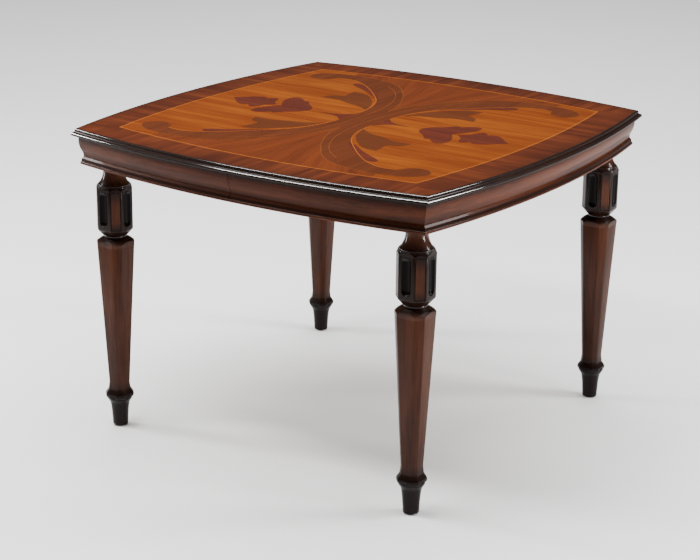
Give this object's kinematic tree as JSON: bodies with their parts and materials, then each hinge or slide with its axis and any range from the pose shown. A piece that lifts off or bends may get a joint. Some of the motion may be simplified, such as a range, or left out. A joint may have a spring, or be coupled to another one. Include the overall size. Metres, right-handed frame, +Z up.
{
  "type": "extending dining table",
  "caption": "Square extending dining table with bowed sides, marquetry top, moulded edge and apron, and faceted fluted legs; the top parts in the middle on wooden slides.",
  "frame": {"origin": "on the floor under the middle of the closed table", "axes": "+X is the way the right half slides out, -Y is the front side with the seam in its middle, +Z is up"},
  "size_m": [1.1, 1.1, 0.76],
  "materials": {
    "mahogany": "glazed mahogany under gloss lacquer",
    "dark_edge": "near-black glazed mahogany, gloss",
    "banding": "cross-banded mahogany veneer, gloss",
    "satinwood": "honey satinwood and marquetry veneers, gloss",
    "boxwood": "light stringing, gloss",
    "core_board": "bare board",
    "beech": "waxed beech",
    "brass": "plain brass",
    "steel": "zinc-plated steel",
    "gear_nylon": "black nylon",
    "glide_plastic": "brown nylon"
  },
  "bodies": {
    "left_half": {"top_core_left": "core_board", "field_veneer_left": "satinwood", "stringing_left": "boxwood", "border_veneer_left": "banding", "edge_moulding_left": "dark_edge", "edge_moulding_front_left": "dark_edge", "edge_moulding_back_left": "dark_edge", "apron_left": "mahogany", "apron_front_left": "mahogany", "apron_back_left": "mahogany", "corner_block_front_left": "beech", "corner_block_back_left": "beech", "leg_front_left": "mahogany", "leg_back_left": "mahogany", "slide_rail_front_left": "beech", "slide_rail_back_left": "beech", "rack_front_left": "gear_nylon", "rack_back_left": "gear_nylon", "leg_bolts_left": "steel", "glides_left": "glide_plastic", "alignment_pins": "beech", "lock_plates": "brass", "lock_pivots": "brass"},
    "right_half": {"top_core_right": "core_board", "field_veneer_right": "satinwood", "stringing_right": "boxwood", "border_veneer_right": "banding", "edge_moulding_right": "dark_edge", "edge_moulding_front_right": "dark_edge", "edge_moulding_back_right": "dark_edge", "apron_right": "mahogany", "apron_front_right": "mahogany", "apron_back_right": "mahogany", "corner_block_front_right": "beech", "corner_block_back_right": "beech", "leg_front_right": "mahogany", "leg_back_right": "mahogany", "slide_rail_front_right": "beech", "slide_rail_back_right": "beech", "rack_front_right": "gear_nylon", "rack_back_right": "gear_nylon", "leg_bolts_right": "steel", "glides_right": "glide_plastic", "lock_keepers": "brass"},
    "slide_front": {"slide_centre_front": "beech", "pinion_screw_front": "steel"},
    "gear_front": {"pinion_front": "gear_nylon"},
    "lever_front": {"lock_lever_front": "brass"},
    "slide_back": {"slide_centre_back": "beech", "pinion_screw_back": "steel"},
    "gear_back": {"pinion_back": "gear_nylon"},
    "lever_back": {"lock_lever_back": "brass"}
  },
  "joints": [
    {"name": "table_opening", "type": "slide", "parent": "left_half", "child": "right_half", "axis": [1, 0, 0], "range_m": [0, 0.4]},
    {"name": "slide_front_travel", "type": "slide", "parent": "left_half", "child": "slide_front", "axis": [1, 0, 0], "range_m": [0, 0.2]},
    {"name": "gear_front_turn", "type": "hinge", "parent": "slide_front", "child": "gear_front", "pos_m": [0, -0.3, 0.691], "axis": [0, 0, 1], "range_deg": [-637.6, 0]},
    {"name": "lever_front_swing", "type": "hinge", "parent": "left_half", "child": "lever_front", "pos_m": [-0.036, -0.15, 0.731], "axis": [0, 0, 1], "range_deg": [-90, 0]},
    {"name": "slide_back_travel", "type": "slide", "parent": "left_half", "child": "slide_back", "axis": [1, 0, 0], "range_m": [0, 0.2]},
    {"name": "gear_back_turn", "type": "hinge", "parent": "slide_back", "child": "gear_back", "pos_m": [0, 0.3, 0.691], "axis": [0, 0, 1], "range_deg": [0, 637.6]},
    {"name": "lever_back_swing", "type": "hinge", "parent": "left_half", "child": "lever_back", "pos_m": [-0.036, 0.15, 0.731], "axis": [0, 0, 1], "range_deg": [-90, 0]}
  ],
  "couplings": [
    {"joint": "slide_front_travel", "follows": "table_opening", "ratio": 0.5},
    {"joint": "gear_front_turn", "follows": "table_opening", "rad_per_m": -27.778},
    {"joint": "slide_back_travel", "follows": "table_opening", "ratio": 0.5},
    {"joint": "gear_back_turn", "follows": "table_opening", "rad_per_m": 27.778}
  ]
}
